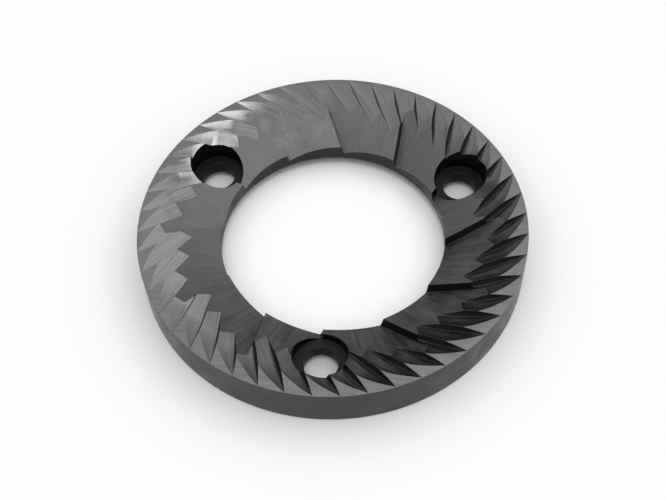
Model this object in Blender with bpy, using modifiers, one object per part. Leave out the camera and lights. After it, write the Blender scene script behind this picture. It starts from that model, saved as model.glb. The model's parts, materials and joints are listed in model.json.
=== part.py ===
"""Flat grinding burr for a coffee grinder: one hardened steel ring, 64 mm across.

The top face carries the teeth.  Forty-eight finishing grooves run in from the rim, and
every fourth one ends at the wall of a deep crushing pocket.  Each of the twelve pockets
has a dished floor that drops and steepens on its way round to the next pocket's wall.
Three counterbored holes take the mounting screws, and the back is relieved inside a seat
ring.

Frame: the ring's axis is Z, the teeth face +Z, the seat ring rests on Z = 0, and one
screw hole lies towards -Y.  Angles run anticlockwise, seen from above.
"""
import math

import bmesh
import bpy
from mathutils import Matrix, Vector

MM = 0.001
UP = Vector((0.0, 0.0, 1.0))

# The ring
OUTER_RADIUS = 32.0 * MM
BORE_RADIUS = 18.65 * MM
HEIGHT = 7.7 * MM
RECESS_RADIUS = 28.0 * MM
RECESS_DEPTH = 1.3 * MM
BORE_CHAMFER = 0.55 * MM
EDGE_CHAMFER = 0.25 * MM
RING_STEPS = 144

# The screw holes
HOLE_COUNT = 3
FIRST_HOLE_ANGLE = math.radians(-90.0)
HOLE_CIRCLE_RADIUS = 24.1 * MM
HOLE_RADIUS = 2.75 * MM
SEAT_RADIUS = 4.4 * MM
SEAT_DEPTH = 4.3 * MM
HOLE_STEPS = 48

# The teeth.  A groove's bottom, seen from above, is a straight line that passes the axis at
# GROOVE_OFFSET.  From the rim it dips for GROOVE_DIP_LENGTH, easing off a little, and then
# falls slowly.  Falls, rises, leans and slopes are one length over another.
SECTOR_COUNT = 12
GROOVES_PER_SECTOR = 4
TOOTH_PHASE = math.radians(14.25)
GROOVE_OFFSET = 15.70 * MM
GROOVE_LENGTH = 16.0 * MM
GROOVE_DIP = 0.93 * MM
GROOVE_DIP_LENGTH = 6.0 * MM
GROOVE_DIP_POWER = 1.5
GROOVE_DIP_STEPS = 4
GROOVE_FALL = 0.036
FLANK_RISE = 0.45
GROOVE_WALL_LEAN = 0.60

# The crushing pockets.  Angles are from the rim end of the wall that a pocket starts at.
# Depths are at the bore and slopes are outwards.  Each goes with the turn from
# POCKET_START_ANGLE, counted in sectors, and the depth also with the turn's square.
POCKET_WALL_OFFSET = 4.10 * MM
POCKET_WALL_TURN = math.radians(1.4)
POCKET_WALL_LEAN = 0.315
POCKET_START_ANGLE = math.radians(-14.4)
POCKET_START_DEPTH = 3.06 * MM
POCKET_DROP = 0.33 * MM
POCKET_DROP_GROWTH = 1.38 * MM
POCKET_START_SLOPE = 0.407
POCKET_STEEPENING = 0.109
POCKET_SWEEP_START = math.radians(-20.4)
POCKET_SWEEP_STEP = math.radians(2.5)
POCKET_SWEEP_STEPS = 21
POCKET_CLEAR = 8.0 * MM

CLEAR = 2.0 * MM    # how far a cutter reaches past the surface that it opens
SECTOR = 2.0 * math.pi / SECTOR_COUNT
SHARP_ANGLE = math.radians(8.0)


def clear_scene():
    """Remove every object and every collection that the scene holds."""
    for item in list(bpy.data.objects):
        bpy.data.objects.remove(item, do_unlink=True)
    for collection in list(bpy.data.collections):
        bpy.data.collections.remove(collection)


def new_collection(name):
    """Add an empty collection to the scene."""
    collection = bpy.data.collections.new(name)
    bpy.context.scene.collection.children.link(collection)
    return collection


def steel_material():
    """Satin, dark grey tool steel."""
    material = bpy.data.materials.new("hardened_steel")
    material.use_nodes = True
    shader = material.node_tree.nodes["Principled BSDF"]
    shader.inputs["Base Color"].default_value = (0.20, 0.20, 0.205, 1.0)
    shader.inputs["Metallic"].default_value = 1.0
    shader.inputs["Roughness"].default_value = 0.38
    return material


def turned_object(name, profile, steps, collection):
    """Turn (radius, height) points about Z with a Screw modifier; a ring's profile is closed."""
    bm = bmesh.new()
    points = [bm.verts.new((radius, 0.0, height)) for radius, height in profile]
    for first, second in zip(points, points[1:]):
        bm.edges.new((first, second))
    if profile[0][0] > 0.0:
        bm.edges.new((points[-1], points[0]))
    mesh = bpy.data.meshes.new(name)
    bm.to_mesh(mesh)
    bm.free()
    item = bpy.data.objects.new(name, mesh)
    collection.objects.link(item)
    screw = item.modifiers.new("turn", "SCREW")
    screw.axis = "Z"
    screw.steps = steps
    screw.render_steps = steps
    screw.use_merge_vertices = True
    screw.merge_threshold = 0.00001
    return item


def as_cutter(item):
    """Keep a cutter out of renders and draw it as a wire."""
    item.hide_render = True
    item.display_type = "WIRE"


def cutters_round_axis(name, bm, count, first_angle, collection):
    """Set copies of one cutter round the axis, at even angles."""
    mesh = bpy.data.meshes.new(name)
    bmesh.ops.recalc_face_normals(bm, faces=bm.faces)
    bm.to_mesh(mesh)
    bm.free()
    for index in range(count):
        cutter = bpy.data.objects.new(f"{name}_{index + 1}", mesh)
        cutter.rotation_euler.z = first_angle + index * 2.0 * math.pi / count
        collection.objects.link(cutter)
        as_cutter(cutter)


def loft(bm, sections):
    """Join sections of as many corners each into one closed skin."""
    rings = [[bm.verts.new(corner) for corner in section] for section in sections]
    bm.faces.new(rings[0])
    bm.faces.new(rings[-1])
    for first, second in zip(rings, rings[1:]):
        for index in range(len(first)):
            bm.faces.new((first[index - 1], first[index], second[index], second[index - 1]))


def make_blank(collection):
    """The ring before its teeth and holes are cut."""
    edge = EDGE_CHAMFER
    profile = [
        (OUTER_RADIUS, HEIGHT),
        (OUTER_RADIUS, edge),
        (OUTER_RADIUS - edge, 0.0),
        (RECESS_RADIUS, 0.0),
        (RECESS_RADIUS, RECESS_DEPTH),
        (BORE_RADIUS + BORE_CHAMFER, RECESS_DEPTH),
        (BORE_RADIUS, RECESS_DEPTH + BORE_CHAMFER),
        (BORE_RADIUS, HEIGHT),
    ]
    return turned_object("grinding_burr", profile, RING_STEPS, collection)


def make_hole_cutters(collection):
    """A stepped plug for each counterbored screw hole."""
    seat_height = HEIGHT - SEAT_DEPTH
    profile = [
        (0.0, HEIGHT + CLEAR),
        (SEAT_RADIUS, HEIGHT + CLEAR),
        (SEAT_RADIUS, seat_height),
        (HOLE_RADIUS, seat_height),
        (HOLE_RADIUS, RECESS_DEPTH - CLEAR),
        (0.0, RECESS_DEPTH - CLEAR),
    ]
    for index in range(HOLE_COUNT):
        angle = FIRST_HOLE_ANGLE + index * 2.0 * math.pi / HOLE_COUNT
        cutter = turned_object(f"hole_cutter_{index + 1}", profile, HOLE_STEPS, collection)
        cutter.location = Matrix.Rotation(angle, 3, "Z") @ Vector((HOLE_CIRCLE_RADIUS, 0.0, 0.0))
        cutter.rotation_euler.z = angle + math.pi / HOLE_STEPS
        as_cutter(cutter)


def groove_depth(travel):
    """Depth of a groove's bottom at a distance in from the rim, negative outside the rim."""
    short = max(0.0, 1.0 - travel / GROOVE_DIP_LENGTH)
    return GROOVE_DIP * (1.0 - short ** GROOVE_DIP_POWER) + GROOVE_FALL * travel


def make_groove_cutters(collection):
    """A bent wedge for each finishing groove: a leaning wall, and a shallow flank behind it."""
    height = groove_depth(GROOVE_LENGTH) + CLEAR
    section = [(0.0, 0.0), (height / FLANK_RISE, height), (-height * GROOVE_WALL_LEAN, height)]
    rim_reach = math.sqrt(OUTER_RADIUS ** 2 - GROOVE_OFFSET ** 2)
    lead = math.atan2(GROOVE_OFFSET, rim_reach)
    dip_step = GROOVE_DIP_LENGTH / GROOVE_DIP_STEPS
    stations = [index * dip_step for index in range(-1, GROOVE_DIP_STEPS + 1)] + [GROOVE_LENGTH]
    path = [Vector((rim_reach - s, -GROOVE_OFFSET, HEIGHT - groove_depth(s))) for s in stations]

    bm = bmesh.new()
    sections = [[foot + Vector((0.0, -across, up)) for across, up in section] for foot in path]
    loft(bm, sections)
    count = SECTOR_COUNT * GROOVES_PER_SECTOR
    cutters_round_axis("groove_cutter", bm, count, TOOTH_PHASE + lead, collection)


def pocket_section(angle):
    """The corners of the upright face that the pocket's cutter has at an angle."""
    turn = (angle - POCKET_START_ANGLE) / SECTOR
    depth = POCKET_START_DEPTH + POCKET_DROP * turn + POCKET_DROP_GROWTH * turn * turn
    slope = POCKET_START_SLOPE + POCKET_STEEPENING * turn
    inner = BORE_RADIUS - CLEAR
    outer = OUTER_RADIUS + CLEAR
    top = HEIGHT + POCKET_CLEAR
    points = [
        (inner, HEIGHT - depth + (inner - BORE_RADIUS) * slope),
        (outer, HEIGHT - depth + (outer - BORE_RADIUS) * slope),
        (outer, top),
        (inner, top),
    ]
    across = Vector((math.cos(angle), math.sin(angle), 0.0))
    return [across * radius + UP * height for radius, height in points]


def make_pocket_cutters(collection):
    """A loft of upright faces for each pocket, ended by the plane of the next pocket's wall."""
    bm = bmesh.new()
    steps = range(POCKET_SWEEP_STEPS + 1)
    loft(bm, [pocket_section(POCKET_SWEEP_START + POCKET_SWEEP_STEP * step) for step in steps])

    # The wall's plane, in the frame of the next wall's rim end, one sector on.
    away = SECTOR - math.pi / 2.0 + POCKET_WALL_TURN
    normal = Vector((math.cos(away), math.sin(away), POCKET_WALL_LEAN))
    crest = Vector((normal.x, normal.y, 0.0)) * POCKET_WALL_OFFSET + UP * HEIGHT
    cut = bmesh.ops.bisect_plane(
        bm, geom=list(bm.verts) + list(bm.edges) + list(bm.faces),
        plane_co=crest, plane_no=normal, clear_inner=True)
    rim = [item for item in cut["geom_cut"] if isinstance(item, bmesh.types.BMEdge)]
    bmesh.ops.holes_fill(bm, edges=rim)
    cutters_round_axis("pocket_cutter", bm, SECTOR_COUNT, TOOTH_PHASE, collection)


def cut_ring(ring, cutters):
    """Take every cutter out of the ring."""
    boolean = ring.modifiers.new("teeth_and_holes", "BOOLEAN")
    boolean.operation = "DIFFERENCE"
    boolean.operand_type = "COLLECTION"
    boolean.collection = cutters
    boolean.solver = "EXACT"


def shade(ring):
    """Apply the modifiers, then shade the turned surfaces smooth and keep the ground edges sharp."""
    depsgraph = bpy.context.evaluated_depsgraph_get()
    mesh = bpy.data.meshes.new_from_object(ring.evaluated_get(depsgraph))
    ring.modifiers.clear()
    ring.data = mesh
    mesh.name = ring.name
    mesh.shade_smooth()
    mesh.set_sharp_from_angle(angle=SHARP_ANGLE)


def main():
    clear_scene()
    parts = new_collection("grinding_burr")
    cutters = new_collection("cutters")
    ring = make_blank(parts)
    make_hole_cutters(cutters)
    make_groove_cutters(cutters)
    make_pocket_cutters(cutters)
    cut_ring(ring, cutters)
    shade(ring)
    ring.data.materials.clear()
    ring.data.materials.append(steel_material())


main()
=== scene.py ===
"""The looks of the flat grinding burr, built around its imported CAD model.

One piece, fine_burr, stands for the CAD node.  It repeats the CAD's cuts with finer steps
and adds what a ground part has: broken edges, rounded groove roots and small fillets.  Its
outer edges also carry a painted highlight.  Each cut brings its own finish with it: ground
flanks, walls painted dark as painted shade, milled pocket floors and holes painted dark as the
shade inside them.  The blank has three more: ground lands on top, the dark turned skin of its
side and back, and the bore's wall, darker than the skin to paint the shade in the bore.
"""
import json
import math

import bmesh
import bpy
from mathutils import Matrix, Vector

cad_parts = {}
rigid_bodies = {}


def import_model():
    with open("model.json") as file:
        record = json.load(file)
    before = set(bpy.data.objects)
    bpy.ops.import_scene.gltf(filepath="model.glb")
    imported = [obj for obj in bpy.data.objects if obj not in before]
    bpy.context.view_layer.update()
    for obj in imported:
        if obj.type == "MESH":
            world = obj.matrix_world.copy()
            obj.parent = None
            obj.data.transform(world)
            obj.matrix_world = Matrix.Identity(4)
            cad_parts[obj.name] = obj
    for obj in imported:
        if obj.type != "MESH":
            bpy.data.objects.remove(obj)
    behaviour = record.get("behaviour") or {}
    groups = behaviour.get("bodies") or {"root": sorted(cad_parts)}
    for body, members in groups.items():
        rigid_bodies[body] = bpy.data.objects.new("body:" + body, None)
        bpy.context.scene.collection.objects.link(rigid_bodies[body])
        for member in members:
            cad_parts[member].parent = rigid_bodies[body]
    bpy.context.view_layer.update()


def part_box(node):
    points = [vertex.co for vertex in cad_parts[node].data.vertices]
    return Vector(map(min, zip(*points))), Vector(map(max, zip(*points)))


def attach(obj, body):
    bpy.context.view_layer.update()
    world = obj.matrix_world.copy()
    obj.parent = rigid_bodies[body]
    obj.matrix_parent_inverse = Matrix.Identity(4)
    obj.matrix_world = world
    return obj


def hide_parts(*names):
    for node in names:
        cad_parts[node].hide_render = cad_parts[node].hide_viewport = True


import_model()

NODE = "grinding_burr"
BODY = "root"
MM = 0.001
UP = Vector((0.0, 0.0, 1.0))

# The ring.  Its outside comes from the frame, and the rest is as in the CAD.
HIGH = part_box(NODE)[1]
OUTER_RADIUS = HIGH.x
HEIGHT = HIGH.z
BORE_RADIUS = 18.65 * MM
RECESS_RADIUS = 28.0 * MM
RECESS_DEPTH = 1.3 * MM
BORE_CHAMFER = 0.55 * MM
EDGE_CHAMFER = 0.25 * MM
RING_STEPS = 360

# The screw holes
HOLE_COUNT = 3
FIRST_HOLE_ANGLE = math.radians(-90.0)
HOLE_CIRCLE_RADIUS = 24.1 * MM
HOLE_RADIUS = 2.75 * MM
SEAT_RADIUS = 4.4 * MM
SEAT_DEPTH = 4.3 * MM
HOLE_STEPS = 96

# The grooves
SECTOR_COUNT = 12
GROOVES_PER_SECTOR = 4
TOOTH_PHASE = math.radians(14.25)
GROOVE_OFFSET = 15.70 * MM
GROOVE_LENGTH = 16.0 * MM
GROOVE_DIP = 0.93 * MM
GROOVE_DIP_LENGTH = 6.0 * MM
GROOVE_DIP_POWER = 1.5
GROOVE_DIP_STEPS = 12
GROOVE_LEAD_STEPS = 3    # how many more steps a cutter starts outside the rim
GROOVE_FALL = 0.036
FLANK_RISE = 0.45
GROOVE_WALL_LEAN = 0.60

# The pockets
POCKET_WALL_OFFSET = 4.10 * MM
POCKET_WALL_TURN = math.radians(1.4)
POCKET_WALL_LEAN = 0.315
POCKET_START_ANGLE = math.radians(-14.4)
POCKET_START_DEPTH = 3.06 * MM
POCKET_DROP = 0.33 * MM
POCKET_DROP_GROWTH = 1.38 * MM
POCKET_START_SLOPE = 0.407
POCKET_STEEPENING = 0.109
POCKET_SWEEP_START = math.radians(-20.4)
POCKET_NEAR = 9.5 * MM
POCKET_FAR = 34.3 * MM
POCKET_LINES = 24
POCKET_LINE_STEPS = 24

# How far a corner's rounding reaches along its two sides
RIM_EASE = 0.09 * MM
BACK_EASE = 0.12 * MM
RECESS_EASE = 0.5 * MM
SEAT_EASE = 0.18 * MM
ROOT_EASE = 0.02 * MM
WALL_FOOT_EASE = 0.08 * MM
EASE_STEPS = 4
WALL_FOOT_ROUNDS = 8

# How far a cutter reaches past the surface that it opens
CLEAR = 2.0 * MM
POCKET_CLEAR = 20.0 * MM

SECTOR = 2.0 * math.pi / SECTOR_COUNT
SHARP_ANGLE = math.radians(10.0)
STEEP = 0.8    # a face is a wall where its normal rises less than this
WELD_GAP = 0.001 * MM
GRAIN = "grain"
CREST = "crest"

# The finishes.  A grind line is GRAIN_LENGTH long and GRAIN_WIDTH wide, and a band is a broad
# one.  Clouds are the patches that hardening and handling leave.  The outer edges are painted
# lighter, a painted highlight, and are worn smoother, along a mask that grows from a bend of the
# rounded normal at its START value to one at its FULL value.
GRAIN_LENGTH = 6.0 * MM
GRAIN_WIDTH = 0.10 * MM
GRAIN_DETAIL = 3.0
GRAIN_DEPTH = 0.002 * MM
GRAIN_SHIFT = 2.0 * GROOVE_LENGTH    # from one cutter's stretch of grain to the next one's
BAND_LENGTH = 14.0 * MM
BAND_WIDTH = 0.55 * MM
BAND_DETAIL = 2.0
BAND_ROUGHNESS = 0.5
CLOUD_SIZE = 3.5 * MM
CLOUD_DETAIL = 4.0
SPECK_SIZE = 0.16 * MM
SPECK_DETAIL = 2.0
NOISE_ROUGHNESS = 0.6
TOP_SKIN = 0.01 * MM    # a face of the blank this close to its top is the top
WEAR_RADIUS = 0.06 * MM
WEAR_SAMPLES = 4
# How much lighter the outer edges are: a painted highlight
EDGE_HIGHLIGHT_LIFT = 0.25
WEAR_SMOOTHING = 0.08
WEAR_AND_HIGHLIGHT_START = 0.01
WEAR_AND_HIGHLIGHT_FULL = 0.12

# The studio
CAMERA_AIM = Vector((0.60, -5.54, 7.70)) * MM
CAMERA_AZIMUTH = math.radians(-83.165)
CAMERA_ELEVATION = math.radians(54.87)
CAMERA_DISTANCE = 179.95 * MM
CAMERA_ROLL = math.radians(-2.97)
CAMERA_LENS = 60.38
CAMERA_CLIP = 5.0 * MM
FLOOR_SIZE = 6.0
FLOOR_COLOR = (0.912, 0.912, 0.912, 1.0)
FLOOR_ROUGHNESS = 0.9
SOFTBOX_DISTANCE = 1.2
SKY_LOW = 0.04
SKY_HIGH = 1.22
SKY_RISE_START = 0.14
SKY_RISE_END = 0.80
SKY_SIDE = (0.15, 0.0, 0.0)


def direction(azimuth, elevation):
    """The unit vector at an azimuth from +X and an elevation, in radians."""
    level = math.cos(elevation)
    return Vector((level * math.cos(azimuth), level * math.sin(azimuth), math.sin(elevation)))


def eased(before, corner, after, reach):
    """A corner of an outline, rounded: points on a curve that joins its two sides."""
    start = corner + (before - corner).normalized() * reach
    end = corner + (after - corner).normalized() * reach
    points = []
    for step in range(EASE_STEPS + 1):
        t = step / EASE_STEPS
        points.append(start * (1.0 - t) ** 2 + corner * 2.0 * t * (1.0 - t) + end * t ** 2)
    return points


def eased_outline(corners, closed):
    """An outline of (across, up, reach) corners as points, with each reach above 0 rounded."""
    places = [Vector((across, up)) for across, up, reach in corners]
    points = []
    for index, (across, up, reach) in enumerate(corners):
        ends = not closed and index in (0, len(corners) - 1)
        if reach == 0.0 or ends:
            points.append(places[index])
            continue
        after = places[(index + 1) % len(places)]
        points.extend(eased(places[index - 1], places[index], after, reach))
    return points


def lay_grain(mesh, along_and_across):
    """Write where the grind lines run: u along them and v across, in metres."""
    layer = mesh.uv_layers.new(name=GRAIN)
    for face in mesh.polygons:
        for loop in face.loop_indices:
            point = mesh.vertices[mesh.loops[loop].vertex_index].co
            layer.data[loop].uv = along_and_across(point, face.center)


def turned_grain(point, centre):
    """Lines round the axis, and straight lines on a face that looks straight up."""
    if centre.z > HEIGHT - TOP_SKIN:
        return point.x, point.y
    middle = math.atan2(centre.y, centre.x)
    turn = math.atan2(point.y, point.x) - middle
    turn = (turn + math.pi) % (2.0 * math.pi) - math.pi
    radius = math.hypot(centre.x, centre.y)
    return (middle + turn) * radius, math.hypot(point.x, point.y) + point.z


def groove_grain(point, centre):
    """Lines along a groove that runs along X."""
    return point.x, point.z - point.y


def pocket_grain(point, centre):
    """Lines that run straight out from the axis."""
    return math.hypot(point.x, point.y), math.atan2(point.y, point.x) * BORE_RADIUS


def new_collection(name):
    """Add an empty collection to the scene."""
    collection = bpy.data.collections.new(name)
    bpy.context.scene.collection.children.link(collection)
    return collection


def turned_object(name, profile, steps, material, collection):
    """Turn points of (radius, height) about Z; a ring's profile is closed."""
    bm = bmesh.new()
    points = [bm.verts.new((radius, 0.0, height)) for radius, height in profile]
    for first, second in zip(points, points[1:]):
        bm.edges.new((first, second))
    if profile[0][0] > 0.0:
        bm.edges.new((points[-1], points[0]))
    outline = bpy.data.meshes.new(name)
    bm.to_mesh(outline)
    bm.free()
    item = bpy.data.objects.new(name, outline)
    collection.objects.link(item)
    screw = item.modifiers.new("turn", "SCREW")
    screw.axis = "Z"
    screw.steps = steps
    screw.render_steps = steps
    screw.use_merge_vertices = True
    screw.merge_threshold = WELD_GAP
    depsgraph = bpy.context.evaluated_depsgraph_get()
    item.data = bpy.data.meshes.new_from_object(item.evaluated_get(depsgraph))
    item.modifiers.clear()
    lay_grain(item.data, turned_grain)
    item.data.materials.append(material)
    return item


def as_cutter(item):
    """Keep a cutter out of sight."""
    item.hide_render = True
    item.display_type = "WIRE"


def cutters_round_axis(name, bm, count, first_angle, grain, floor, wall, collection):
    """Set copies of one cutter round the axis, each with its own stretch of grain."""
    mesh = bpy.data.meshes.new(name)
    bmesh.ops.recalc_face_normals(bm, faces=bm.faces)
    bm.to_mesh(mesh)
    bm.free()
    lay_grain(mesh, grain)
    mesh.materials.append(floor)
    mesh.materials.append(wall)
    for face in mesh.polygons:
        # Steep faces get the wall material, whose dark colour is painted shade.
        face.material_index = int(abs(face.normal.z) < STEEP)
    for index in range(count):
        own = mesh.copy()
        for corner in own.uv_layers[GRAIN].data:
            corner.uv.x += index * GRAIN_SHIFT
        cutter = bpy.data.objects.new(f"{name}_{index + 1}", own)
        cutter.rotation_euler.z = first_angle + index * 2.0 * math.pi / count
        collection.objects.link(cutter)
        as_cutter(cutter)


def loft(bm, sections):
    """Join sections of as many corners each into one closed skin."""
    rings = [[bm.verts.new(corner) for corner in section] for section in sections]
    bm.faces.new(rings[0])
    bm.faces.new(rings[-1])
    for first, second in zip(rings, rings[1:]):
        for index in range(len(first)):
            bm.faces.new((first[index - 1], first[index], second[index], second[index - 1]))


def make_blank(material, collection):
    """The ring before its teeth and holes are cut."""
    corners = [
        (OUTER_RADIUS, HEIGHT, RIM_EASE),
        (OUTER_RADIUS, EDGE_CHAMFER, RIM_EASE),
        (OUTER_RADIUS - EDGE_CHAMFER, 0.0, RIM_EASE),
        (RECESS_RADIUS, 0.0, BACK_EASE),
        (RECESS_RADIUS, RECESS_DEPTH, RECESS_EASE),
        (BORE_RADIUS + BORE_CHAMFER, RECESS_DEPTH, RIM_EASE),
        (BORE_RADIUS, RECESS_DEPTH + BORE_CHAMFER, RIM_EASE),
        (BORE_RADIUS, HEIGHT, 0.0),
    ]
    profile = eased_outline(corners, closed=True)
    return turned_object("fine_burr", profile, RING_STEPS, material, collection)


def make_hole_cutters(material, collection):
    """A stepped plug for each counterbored screw hole."""
    seat_height = HEIGHT - SEAT_DEPTH
    corners = [
        (0.0, HEIGHT + CLEAR, 0.0),
        (SEAT_RADIUS, HEIGHT + CLEAR, 0.0),
        (SEAT_RADIUS, seat_height, SEAT_EASE),
        (HOLE_RADIUS, seat_height, SEAT_EASE),
        (HOLE_RADIUS, RECESS_DEPTH - CLEAR, 0.0),
        (0.0, RECESS_DEPTH - CLEAR, 0.0),
    ]
    profile = eased_outline(corners, closed=False)
    for index in range(HOLE_COUNT):
        angle = FIRST_HOLE_ANGLE + index * 2.0 * math.pi / HOLE_COUNT
        name = f"hole_cutter_{index + 1}"
        cutter = turned_object(name, profile, HOLE_STEPS, material, collection)
        cutter.location = Matrix.Rotation(angle, 3, "Z") @ Vector((HOLE_CIRCLE_RADIUS, 0.0, 0.0))
        cutter.rotation_euler.z = angle + math.pi / HOLE_STEPS
        as_cutter(cutter)


def groove_depth(travel):
    """Depth of a groove's bottom at a distance in from the rim, negative outside the rim."""
    short = max(0.0, 1.0 - travel / GROOVE_DIP_LENGTH)
    return GROOVE_DIP * (1.0 - short ** GROOVE_DIP_POWER) + GROOVE_FALL * travel


def make_groove_cutters(flank, wall, collection):
    """A bent wedge for each groove: a leaning wall, a rounded root and a shallow flank."""
    height = groove_depth(GROOVE_LENGTH) + CLEAR
    flank_top = Vector((height / FLANK_RISE, height))
    wall_top = Vector((-height * GROOVE_WALL_LEAN, height))
    root = eased(wall_top, Vector((0.0, 0.0)), flank_top, ROOT_EASE)
    section = root + [flank_top, wall_top]
    rim_reach = math.sqrt(OUTER_RADIUS ** 2 - GROOVE_OFFSET ** 2)
    lead = math.atan2(GROOVE_OFFSET, rim_reach)
    dip_step = GROOVE_DIP_LENGTH / GROOVE_DIP_STEPS
    stations = [index * dip_step for index in range(-GROOVE_LEAD_STEPS, GROOVE_DIP_STEPS + 1)]
    stations.append(GROOVE_LENGTH)
    path = [Vector((rim_reach - s, -GROOVE_OFFSET, HEIGHT - groove_depth(s))) for s in stations]

    bm = bmesh.new()
    loft(bm, [[foot + Vector((0.0, -across, up)) for across, up in section] for foot in path])
    count = SECTOR_COUNT * GROOVES_PER_SECTOR
    first_angle = TOOTH_PHASE + lead
    cutters_round_axis(
        "groove_cutter", bm, count, first_angle, groove_grain, flank, wall, collection)


def pocket_floor(point):
    """Height of the pocket's floor over a point."""
    angle = math.atan2(point.y, point.x)
    radius = math.hypot(point.x, point.y)
    turn = (angle - POCKET_START_ANGLE) / SECTOR
    depth = POCKET_START_DEPTH + POCKET_DROP * turn + POCKET_DROP_GROWTH * turn * turn
    slope = POCKET_START_SLOPE + POCKET_STEEPENING * turn
    return HEIGHT - depth + (radius - BORE_RADIUS) * slope


def pocket_section(along):
    """An upright section of the pocket's cutter, square to the next pocket's wall."""
    wall_angle = SECTOR + POCKET_WALL_TURN
    out = direction(wall_angle, 0.0)
    away = direction(wall_angle - math.pi / 2.0, 0.0)

    def floor_point(gap):
        place = out * along + away * (POCKET_WALL_OFFSET + gap)
        return place + UP * pocket_floor(place)

    gap = 0.0
    for _ in range(WALL_FOOT_ROUNDS):
        gap = POCKET_WALL_LEAN * (HEIGHT - floor_point(gap).z)
    foot = floor_point(gap)
    last_gap = along * math.tan(wall_angle - POCKET_SWEEP_START) - POCKET_WALL_OFFSET
    top = HEIGHT + POCKET_CLEAR
    wall_top = out * along + away * (POCKET_WALL_OFFSET - POCKET_CLEAR * POCKET_WALL_LEAN) + UP * top
    step = (last_gap - gap) / POCKET_LINE_STEPS
    floor = [floor_point(gap + step * index) for index in range(1, POCKET_LINE_STEPS + 1)]
    fillet = eased(wall_top, foot, floor[0], WALL_FOOT_EASE)
    far_top = Vector((floor[-1].x, floor[-1].y, top))
    return [wall_top] + fillet + floor + [far_top]


def make_pocket_cutters(floor, wall, collection):
    """A dished loft for each pocket, from before its start to the next pocket's wall."""
    bm = bmesh.new()
    step = (POCKET_FAR - POCKET_NEAR) / POCKET_LINES
    loft(bm, [pocket_section(POCKET_NEAR + step * line) for line in range(POCKET_LINES + 1)])
    cutters_round_axis(
        "pocket_cutter", bm, SECTOR_COUNT, TOOTH_PHASE, pocket_grain, floor, wall, collection)


def cut_ring(ring, cutters):
    """Take every cutter out of the ring, and keep the finish that each one brings."""
    boolean = ring.modifiers.new("cuts", "BOOLEAN")
    boolean.operation = "DIFFERENCE"
    boolean.operand_type = "COLLECTION"
    boolean.collection = cutters
    boolean.solver = "EXACT"
    boolean.material_mode = "TRANSFER"
    depsgraph = bpy.context.evaluated_depsgraph_get()
    mesh = bpy.data.meshes.new_from_object(ring.evaluated_get(depsgraph))
    ring.modifiers.clear()
    ring.data = mesh
    mesh.name = ring.name
    for cutter in list(cutters.objects):
        bpy.data.objects.remove(cutter, do_unlink=True)
    bpy.data.collections.remove(cutters)


def weld(mesh):
    """Merge the few pairs of corners that the cuts left less than a hair apart, at their middle."""
    bm = bmesh.new()
    bm.from_mesh(mesh)
    twins = bmesh.ops.find_doubles(bm, verts=bm.verts, dist=WELD_GAP)["targetmap"]
    for corner, twin in twins.items():
        twin.co = (corner.co + twin.co) / 2.0
    bmesh.ops.weld_verts(bm, targetmap=twins)
    bm.to_mesh(mesh)
    bm.free()


def finish_skin(mesh, land, skin, bore_with_painted_shade):
    """Give the blank's side, back and bore their own finishes, so that only its top is ground; the
    bore's is darker than the skin, a painted shade.
    """
    land_index = mesh.materials.find(land.name)
    mesh.materials.append(skin)
    mesh.materials.append(bore_with_painted_shade)
    for face in mesh.polygons:
        if face.material_index != land_index or face.center.z > HEIGHT - RIM_EASE:
            continue
        inside = math.hypot(face.center.x, face.center.y) < BORE_RADIUS + BORE_CHAMFER
        face.material_index = mesh.materials.find(bore_with_painted_shade.name if inside else skin.name)


def mark_crests(mesh):
    """Shade the faces smooth between sharp edges, and write how far each corner stands out."""
    mesh.shade_smooth()
    mesh.set_sharp_from_angle(angle=SHARP_ANGLE)
    bm = bmesh.new()
    bm.from_mesh(mesh)
    layer = bm.verts.layers.float.new(CREST)
    for corner in bm.verts:
        turns = [edge.calc_face_angle_signed() for edge in corner.link_edges]
        sharp = [turn for turn in turns if abs(turn) > SHARP_ANGLE]
        outward = [turn for turn in sharp if turn > 0.0]
        corner[layer] = len(outward) / max(1, len(sharp))
    bm.to_mesh(mesh)
    bm.free()


def math_node(tree, operation, *values):
    """A Math node; each value is a number or another node's output."""
    node = tree.nodes.new("ShaderNodeMath")
    node.operation = operation
    for socket, value in zip(node.inputs, values):
        if isinstance(value, bpy.types.NodeSocket):
            tree.links.new(value, socket)
        else:
            socket.default_value = value
    return node.outputs[0]


def noise_node(tree, source, cell, detail):
    """Noise about zero, from -0.5 to 0.5, with cells of the given size in metres."""
    scale = tree.nodes.new("ShaderNodeVectorMath")
    scale.operation = "MULTIPLY"
    scale.inputs[1].default_value = [1.0 / length for length in cell]
    tree.links.new(source, scale.inputs[0])
    noise = tree.nodes.new("ShaderNodeTexNoise")
    noise.inputs["Scale"].default_value = 1.0
    noise.inputs["Detail"].default_value = detail
    noise.inputs["Roughness"].default_value = NOISE_ROUGHNESS
    tree.links.new(scale.outputs[0], noise.inputs["Vector"])
    return math_node(tree, "SUBTRACT", noise.outputs["Fac"], 0.5)


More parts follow.
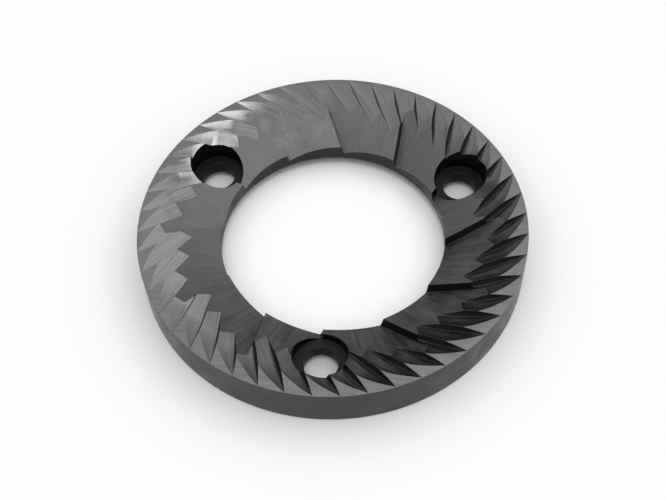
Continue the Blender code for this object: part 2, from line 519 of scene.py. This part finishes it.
def worn_normal(tree):
    """The normal with its outer edges rounded, and a mask of those edges."""
    crest = tree.nodes.new("ShaderNodeAttribute")
    crest.attribute_name = CREST
    rounded = tree.nodes.new("ShaderNodeBevel")
    rounded.samples = WEAR_SAMPLES
    rounded.inputs["Radius"].default_value = WEAR_RADIUS
    flat = tree.nodes.new("ShaderNodeNewGeometry")
    blend = tree.nodes.new("ShaderNodeMix")
    blend.data_type = "VECTOR"
    tree.links.new(crest.outputs["Fac"], blend.inputs["Factor"])
    tree.links.new(flat.outputs["Normal"], blend.inputs["A"])
    tree.links.new(rounded.outputs["Normal"], blend.inputs["B"])
    dot = tree.nodes.new("ShaderNodeVectorMath")
    dot.operation = "DOT_PRODUCT"
    tree.links.new(flat.outputs["Normal"], dot.inputs[0])
    tree.links.new(rounded.outputs["Normal"], dot.inputs[1])
    bend = math_node(tree, "SUBTRACT", 1.0, dot.outputs["Value"])
    edge = tree.nodes.new("ShaderNodeMapRange")
    edge.inputs["From Min"].default_value = WEAR_AND_HIGHLIGHT_START
    edge.inputs["From Max"].default_value = WEAR_AND_HIGHLIGHT_FULL
    tree.links.new(bend, edge.inputs["Value"])
    # The mask of the outer edges: they are made smoother, as worn edges are, and lighter, a painted
    # highlight.
    wear_and_highlight = math_node(tree, "MULTIPLY", edge.outputs["Result"], crest.outputs["Fac"])
    return blend.outputs["Result"], wear_and_highlight


def steel(name, color, roughness, lines, bands, clouds, specks):
    """Steel with grind lines, broad bands, clouds, specks, worn outer edges and a painted highlight
    on them.
    """
    material = bpy.data.materials.new(name)
    material.use_nodes = True
    tree = material.node_tree
    shader = tree.nodes["Principled BSDF"]
    shader.inputs["Metallic"].default_value = 1.0

    grain = tree.nodes.new("ShaderNodeUVMap")
    grain.uv_map = GRAIN
    place = tree.nodes.new("ShaderNodeTexCoord")
    line = noise_node(tree, grain.outputs["UV"], (GRAIN_LENGTH, GRAIN_WIDTH, 1.0), GRAIN_DETAIL)
    band = noise_node(tree, grain.outputs["UV"], (BAND_LENGTH, BAND_WIDTH, 1.0), BAND_DETAIL)
    cloud = noise_node(tree, place.outputs["Object"], (CLOUD_SIZE,) * 3, CLOUD_DETAIL)
    speck = noise_node(tree, place.outputs["Object"], (SPECK_SIZE,) * 3, SPECK_DETAIL)
    normal, wear_and_highlight = worn_normal(tree)

    tone = 1.0
    # The last share lightens the outer edges, a painted highlight.
    shares = ((line, lines), (band, bands), (cloud, clouds), (speck, specks), (wear_and_highlight, EDGE_HIGHLIGHT_LIFT))
    for pattern, share in shares:
        tone = math_node(tree, "MULTIPLY_ADD", pattern, share, tone)
    tinted = tree.nodes.new("ShaderNodeVectorMath")
    tinted.operation = "SCALE"
    tinted.inputs[0].default_value = color
    tree.links.new(tone, tinted.inputs["Scale"])
    tree.links.new(tinted.outputs[0], shader.inputs["Base Color"])

    rough = math_node(tree, "MULTIPLY_ADD", cloud, clouds, roughness)
    rough = math_node(tree, "MULTIPLY_ADD", band, bands * BAND_ROUGHNESS, rough)
    rough = math_node(tree, "MULTIPLY_ADD", wear_and_highlight, -WEAR_SMOOTHING, rough)
    tree.links.new(rough, shader.inputs["Roughness"])

    relief = math_node(tree, "MULTIPLY_ADD", speck, specks / lines, line)
    bump = tree.nodes.new("ShaderNodeBump")
    bump.inputs["Strength"].default_value = 1.0
    bump.inputs["Distance"].default_value = GRAIN_DEPTH
    tree.links.new(relief, bump.inputs["Height"])
    tree.links.new(normal, bump.inputs["Normal"])
    tree.links.new(bump.outputs["Normal"], shader.inputs["Normal"])
    return material


def floor_material():
    """Plain, pale and matt."""
    material = bpy.data.materials.new("floor")
    material.use_nodes = True
    shader = material.node_tree.nodes["Principled BSDF"]
    shader.inputs["Base Color"].default_value = FLOOR_COLOR
    shader.inputs["Roughness"].default_value = FLOOR_ROUGHNESS
    return material


def make_camera():
    """The camera, aimed a little in front of the ring's centre and rolled by a few degrees."""
    camera = bpy.data.cameras.new("camera")
    camera.lens = CAMERA_LENS
    camera.clip_start = CAMERA_CLIP
    item = bpy.data.objects.new("camera", camera)
    back = direction(CAMERA_AZIMUTH, CAMERA_ELEVATION)
    item.location = CAMERA_AIM + back * CAMERA_DISTANCE
    facing = (-back).to_track_quat("-Z", "Y").to_matrix().to_4x4()
    item.rotation_euler = (facing @ Matrix.Rotation(CAMERA_ROLL, 4, "Z")).to_euler()
    bpy.context.scene.collection.objects.link(item)
    bpy.context.scene.camera = item


def make_softbox(name, azimuth, elevation, size, strength):
    """A square soft light, aimed at the ring; strength is its brightness as seen."""
    light = bpy.data.lights.new(name, "AREA")
    light.size = size
    light.energy = strength * math.pi * size * size
    item = bpy.data.objects.new(name, light)
    towards = direction(math.radians(azimuth), math.radians(elevation))
    item.location = UP * HEIGHT + towards * SOFTBOX_DISTANCE
    item.rotation_euler = (-towards).to_track_quat("-Z", "Y").to_euler()
    bpy.context.scene.collection.objects.link(item)


def make_sky():
    """A room that is dim near the floor, bright overhead, and a little brighter on one side."""
    world = bpy.data.worlds.new("room")
    world.use_nodes = True
    tree = world.node_tree
    place = tree.nodes.new("ShaderNodeTexCoord")
    split = tree.nodes.new("ShaderNodeSeparateXYZ")
    tree.links.new(place.outputs["Generated"], split.inputs[0])
    rise = tree.nodes.new("ShaderNodeMapRange")
    rise.interpolation_type = "SMOOTHSTEP"
    rise.inputs["From Min"].default_value = SKY_RISE_START
    rise.inputs["From Max"].default_value = SKY_RISE_END
    rise.inputs["To Min"].default_value = SKY_LOW
    rise.inputs["To Max"].default_value = SKY_HIGH
    tree.links.new(split.outputs["Z"], rise.inputs["Value"])
    side = tree.nodes.new("ShaderNodeVectorMath")
    side.operation = "DOT_PRODUCT"
    side.inputs[1].default_value = SKY_SIDE
    tree.links.new(place.outputs["Generated"], side.inputs[0])
    lean = math_node(tree, "ADD", side.outputs["Value"], 1.0)
    strength = math_node(tree, "MULTIPLY", rise.outputs["Result"], lean)
    tree.links.new(strength, tree.nodes["Background"].inputs["Strength"])
    tree.nodes["Background"].inputs["Color"].default_value = (1.0, 1.0, 1.0, 1.0)
    bpy.context.scene.world = world


def make_studio():
    """The pale floor, the soft lights and the room."""
    bpy.ops.mesh.primitive_plane_add(size=FLOOR_SIZE)
    floor = bpy.context.object
    floor.name = "floor"
    floor.data.materials.append(floor_material())
    make_sky()
    make_softbox("key", azimuth=-89.0, elevation=78.0, size=0.34, strength=4.3)
    make_softbox("right", azimuth=22.0, elevation=58.0, size=0.7, strength=0.5)
    bpy.context.scene.view_settings.view_transform = "Standard"


def make_burr():
    """The one piece of the object, in its seven finishes; the walls, the holes and the bore are
    painted darker as shade, and the outer edges carry a painted highlight.
    """
    land = steel(
        "ground_land", (0.168, 0.168, 0.166), 0.30, lines=0.7, bands=0.6, clouds=0.5, specks=0.8)
    flank = steel(
        "ground_flank", (0.160, 0.160, 0.158), 0.19, lines=0.7, bands=0.9, clouds=0.4, specks=0.5)
    # The walls: a near-black base colour that paints the shade on groove and pocket walls.
    wall = steel(
        "wall_painted_shade", (0.034, 0.034, 0.035), 0.30, lines=0.6, bands=0.5, clouds=0.5, specks=0.5)
    pocket = steel(
        "milled_pocket", (0.132, 0.132, 0.131), 0.50, lines=0.7, bands=0.7, clouds=0.5, specks=0.7)
    skin = steel(
        "turned_skin", (0.058, 0.060, 0.065), 0.38, lines=0.4, bands=0.3, clouds=0.6, specks=0.9)
    # The bore: darker than the turned skin's dark oxide, and the extra darkness is painted shade
    # inside the bore.
    bore_with_painted_shade = steel(
        "bore_wall_painted_shade", (0.036, 0.037, 0.039), 0.42, lines=0.6, bands=0.5, clouds=0.8, specks=0.6)
    # The holes: a near-black base colour that paints the shade inside them.
    hole = steel(
        "hole_painted_shade", (0.022, 0.022, 0.023), 0.50, lines=0.6, bands=0.4, clouds=0.6, specks=0.5)
    cutters = new_collection("cutters")
    ring = make_blank(land, bpy.context.scene.collection)
    make_hole_cutters(hole, cutters)
    make_groove_cutters(flank, wall, cutters)
    make_pocket_cutters(pocket, wall, cutters)
    cut_ring(ring, cutters)
    weld(ring.data)
    finish_skin(ring.data, land, skin, bore_with_painted_shade)
    mark_crests(ring.data)
    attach(ring, BODY)
    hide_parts(NODE)


make_camera()
make_studio()
make_burr()
